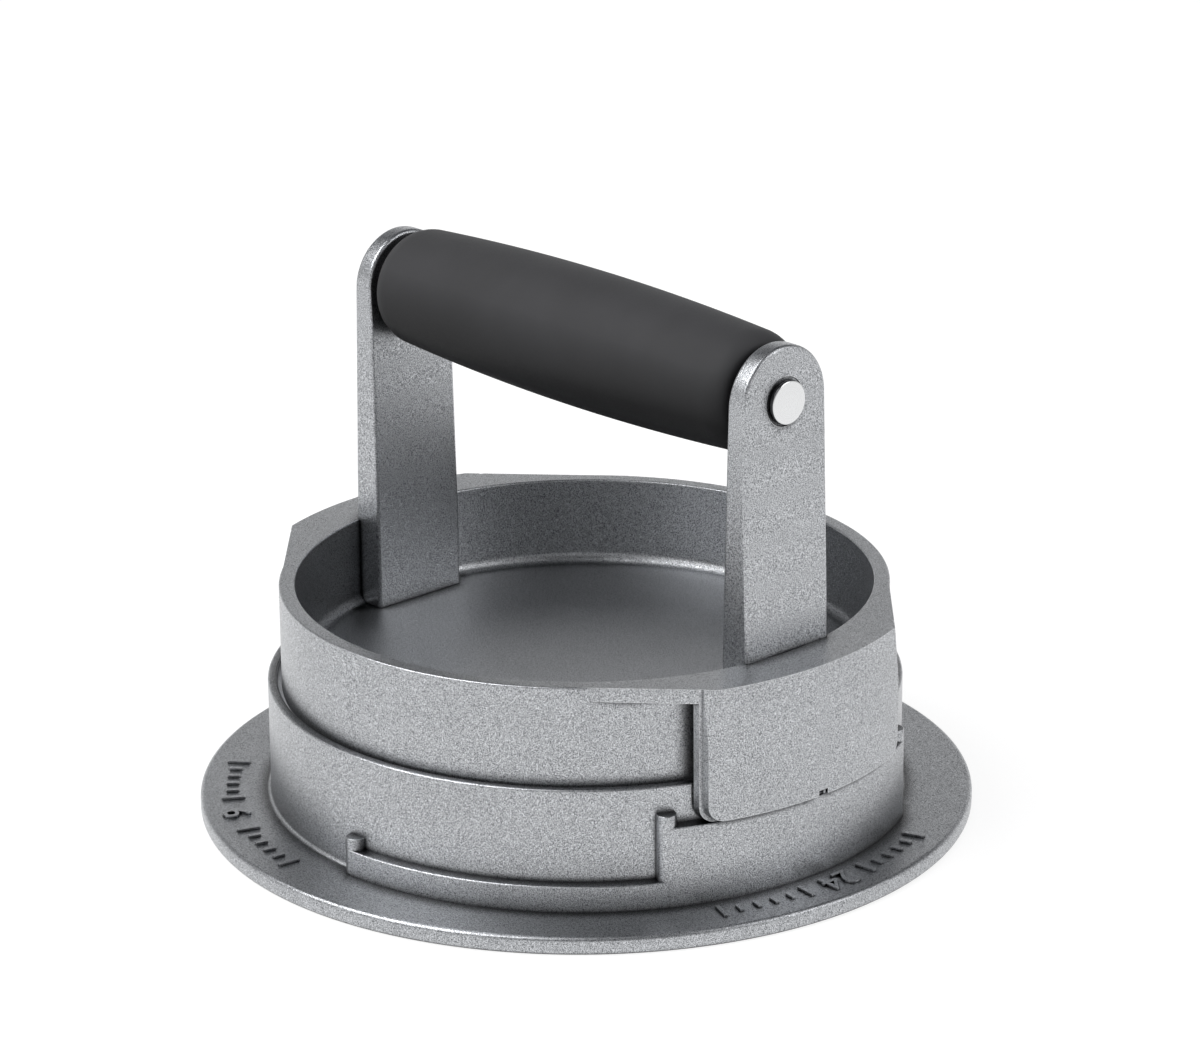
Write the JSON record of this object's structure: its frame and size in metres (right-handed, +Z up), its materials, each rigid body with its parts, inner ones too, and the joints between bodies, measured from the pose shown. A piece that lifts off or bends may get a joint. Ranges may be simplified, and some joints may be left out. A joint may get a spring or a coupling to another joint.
{
  "type": "burger press",
  "caption": "Hand press for shaping burger patties: a flanged mould ring with stepped ledges outside, and a ridged plunger with guide skirts and a round grip that seats on them.",
  "frame": {"origin": "centre of the mould ring's base, on the surface that it stands on", "axes": "+Z up along the ring's axis, +X along the grip, the picture's camera stands near azimuth 47 degrees, between -Y and +X"},
  "size_m": [0.144, 0.144, 0.1022],
  "materials": {
    "cast_aluminium": "blasted casting, fine grain, soft sheen",
    "charcoal_grip": "satin",
    "grip_core": "satin",
    "polished_pin": "polished",
    "dark_washer": "matt"
  },
  "bodies": {
    "ring": {"mould_ring": "cast_aluminium"},
    "press": {"plunger": "cast_aluminium", "left_lug": "cast_aluminium", "right_lug": "cast_aluminium", "left_arm": "cast_aluminium", "right_arm": "cast_aluminium", "handle_pin": "polished_pin", "pin_cap": "polished_pin", "left_washer": "dark_washer", "right_washer": "dark_washer"},
    "grip": {"grip_core": "grip_core", "grip_sleeve": "charcoal_grip"}
  },
  "joints": [
    {"name": "press_lift", "type": "slide", "parent": "ring", "child": "press", "axis": [0, 0, 1], "range_m": [0, 0.05]},
    {"name": "grip_spin", "type": "hinge", "parent": "press", "child": "grip", "pos_m": [0, 0, 0.0897], "axis": [1, 0, 0], "continuous": true}
  ]
}
